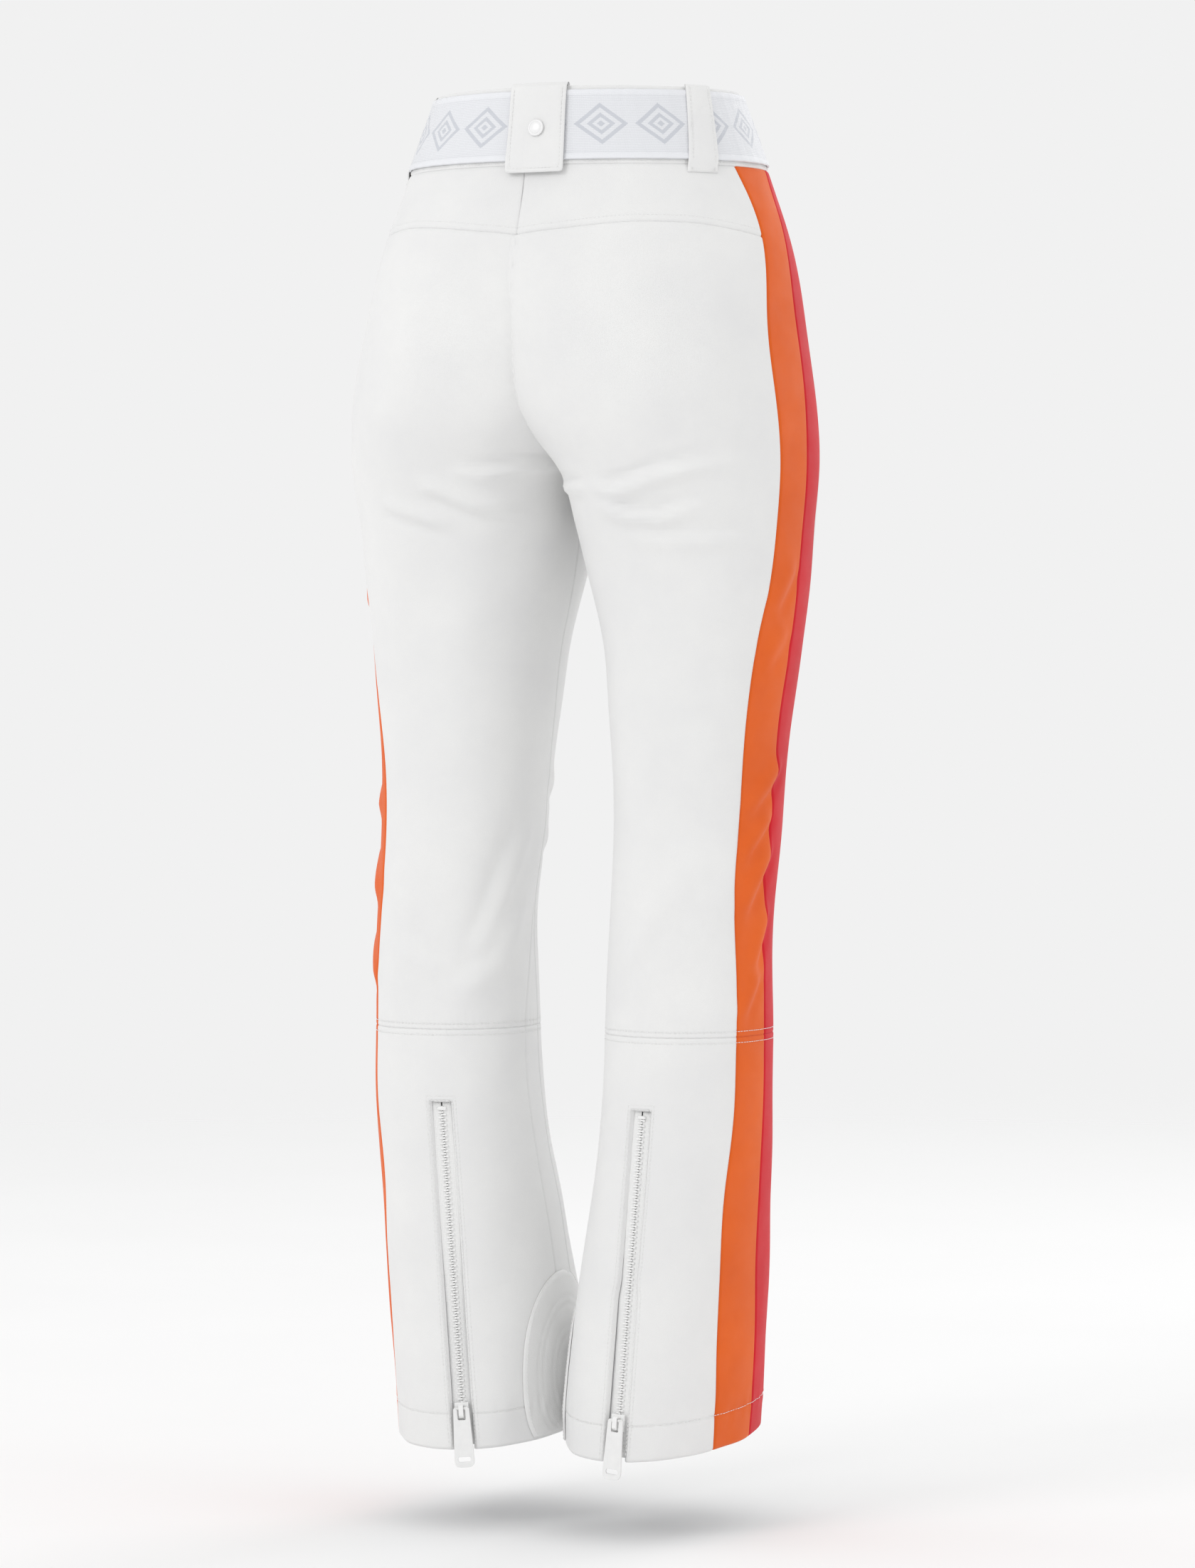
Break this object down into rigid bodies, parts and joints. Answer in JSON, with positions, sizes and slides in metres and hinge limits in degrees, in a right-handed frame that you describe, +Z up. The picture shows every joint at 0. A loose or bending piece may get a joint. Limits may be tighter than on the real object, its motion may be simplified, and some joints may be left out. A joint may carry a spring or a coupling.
{
  "type": "ski pants",
  "caption": "Slim flared softshell ski pants with side stripes, elastic belt with flip clasp, pocket, fly and hem zips, scuff guards and snow gaiters.",
  "frame": {"origin": "centre of the waist opening, level with the waistband's top edge", "axes": "+Z up the body, +Y to the wearer's back, +X to the wearer's left"},
  "size_m": [0.3678, 0.2563, 1.0533],
  "materials": {
    "shell_white": "matt three-layer softshell",
    "stripe_orange": "matt three-layer softshell",
    "stripe_red": "matt three-layer softshell",
    "lining_grey": "plain woven lining",
    "elastic_silver": "knitted elastic with a woven pattern",
    "guard_white": "coated, embossed",
    "zip_tape": "woven tape",
    "zip_moulding": "satin moulded",
    "pull_rubber": "soft-touch moulded",
    "snap_metal": "satin nickel",
    "clasp_metal": "satin anodised",
    "grip_rubber": "matt"
  },
  "bodies": {
    "trousers": {"left_waistband": "shell_white", "left_front_panel": "shell_white", "left_back_yoke": "shell_white", "left_back_panel": "shell_white", "left_orange_stripe_upper": "stripe_orange", "left_red_stripe_upper": "stripe_red", "left_orange_stripe_lower": "stripe_orange", "left_red_stripe_lower": "stripe_red", "left_front_lower": "shell_white", "left_back_lower": "shell_white", "left_scuff_guard": "guard_white", "left_snow_gaiter": "lining_grey", "left_gaiter_elastic": "grip_rubber", "left_zip_gusset": "lining_grey", "left_pocket_bag": "lining_grey", "left_side_belt_loop": "shell_white", "left_front_belt_loop": "shell_white", "left_hem_zip_outer_stringer": "zip_tape", "left_hem_zip_inner_stringer": "zip_tape", "left_pocket_zip_chain": "zip_tape", "right_waistband": "shell_white", "right_front_panel": "shell_white", "right_back_yoke": "shell_white", "right_back_panel": "shell_white", "right_orange_stripe_upper": "stripe_orange", "right_red_stripe_upper": "stripe_red", "right_orange_stripe_lower": "stripe_orange", "right_red_stripe_lower": "stripe_red", "right_front_lower": "shell_white", "right_back_lower": "shell_white", "right_scuff_guard": "guard_white", "right_snow_gaiter": "lining_grey", "right_gaiter_elastic": "grip_rubber", "right_zip_gusset": "lining_grey", "right_pocket_bag": "lining_grey", "right_side_belt_loop": "shell_white", "right_front_belt_loop": "shell_white", "right_hem_zip_outer_stringer": "zip_tape", "right_hem_zip_inner_stringer": "zip_tape", "right_pocket_zip_chain": "zip_tape", "belt_elastic": "elastic_silver", "tab_snap_stud": "snap_metal", "clasp_base": "clasp_metal", "clasp_pin": "clasp_metal", "waist_snap_cap": "snap_metal", "fly_underlap": "lining_grey", "fly_zip_chain": "zip_tape"},
    "left_hem_zip_slider": {"left_hem_zip_slider": "zip_moulding"},
    "left_hem_zip_pull": {"left_hem_zip_pull": "pull_rubber"},
    "right_hem_zip_slider": {"right_hem_zip_slider": "zip_moulding"},
    "right_hem_zip_pull": {"right_hem_zip_pull": "pull_rubber"},
    "left_pocket_zip_slider": {"left_pocket_zip_slider": "zip_moulding"},
    "left_pocket_zip_pull": {"left_pocket_zip_pull": "pull_rubber"},
    "right_pocket_zip_slider": {"right_pocket_zip_slider": "zip_moulding"},
    "right_pocket_zip_pull": {"right_pocket_zip_pull": "pull_rubber"},
    "fly_zip_slider": {"fly_zip_slider": "zip_moulding"},
    "fly_zip_pull": {"fly_zip_pull": "pull_rubber"},
    "back_tab": {"centre_back_tab": "shell_white", "tab_snap_cap": "snap_metal"},
    "clasp_lever": {"clasp_lever": "clasp_metal"}
  },
  "joints": [
    {"name": "left_hem_zip_slide", "type": "slide", "parent": "trousers", "child": "left_hem_zip_slider", "axis": [0.0991, -0.0419, 0.9942], "range_m": [0, 0.222]},
    {"name": "left_hem_zip_pull_swing", "type": "hinge", "parent": "left_hem_zip_slider", "child": "left_hem_zip_pull", "pos_m": [0.05503, 0.10633, -1.00684], "axis": [0.9365, 0.3417, -0.0789], "range_deg": [0, 150]},
    {"name": "right_hem_zip_slide", "type": "slide", "parent": "trousers", "child": "right_hem_zip_slider", "axis": [-0.0601, -0.046, 0.9971], "range_m": [0, 0.222]},
    {"name": "right_hem_zip_pull_swing", "type": "hinge", "parent": "right_hem_zip_slider", "child": "right_hem_zip_pull", "pos_m": [-0.0794, 0.11018, -1.0068], "axis": [0.9982, -0.0118, 0.0596], "range_deg": [0, 150]},
    {"name": "left_pocket_zip_slide", "type": "slide", "parent": "trousers", "child": "left_pocket_zip_slider", "axis": [0.1898, 0.0132, -0.9817], "range_m": [0, 0.09]},
    {"name": "left_pocket_zip_pull_swing", "type": "hinge", "parent": "left_pocket_zip_slider", "child": "left_pocket_zip_pull", "pos_m": [0.14333, -0.06945, -0.14165], "axis": [-0.5785, -0.8064, -0.1227], "range_deg": [0, 150]},
    {"name": "right_pocket_zip_slide", "type": "slide", "parent": "trousers", "child": "right_pocket_zip_slider", "axis": [-0.1898, 0.0132, -0.9817], "range_m": [0, 0.09]},
    {"name": "right_pocket_zip_pull_swing", "type": "hinge", "parent": "right_pocket_zip_slider", "child": "right_pocket_zip_pull", "pos_m": [-0.14333, -0.06945, -0.14165], "axis": [-0.5785, 0.8064, 0.1227], "range_deg": [0, 150]},
    {"name": "fly_zip_slide", "type": "slide", "parent": "trousers", "child": "fly_zip_slider", "axis": [0, -0.041, -0.9992], "range_m": [0, 0.098]},
    {"name": "fly_zip_pull_swing", "type": "hinge", "parent": "fly_zip_slider", "child": "fly_zip_pull", "pos_m": [0, -0.10802, -0.07585], "axis": [-1, 0, 0], "range_deg": [0, 150]},
    {"name": "back_tab_fold", "type": "hinge", "parent": "trousers", "child": "back_tab", "pos_m": [-0.00872, 0.10086, 0.0008], "axis": [0.9985, 0.0554, 0], "range_deg": [0, 100]},
    {"name": "clasp_flip", "type": "hinge", "parent": "trousers", "child": "clasp_lever", "pos_m": [-0.0215, -0.10883, -0.02891], "axis": [0, -0.1492, -0.9888], "range_deg": [0, 110]}
  ]
}
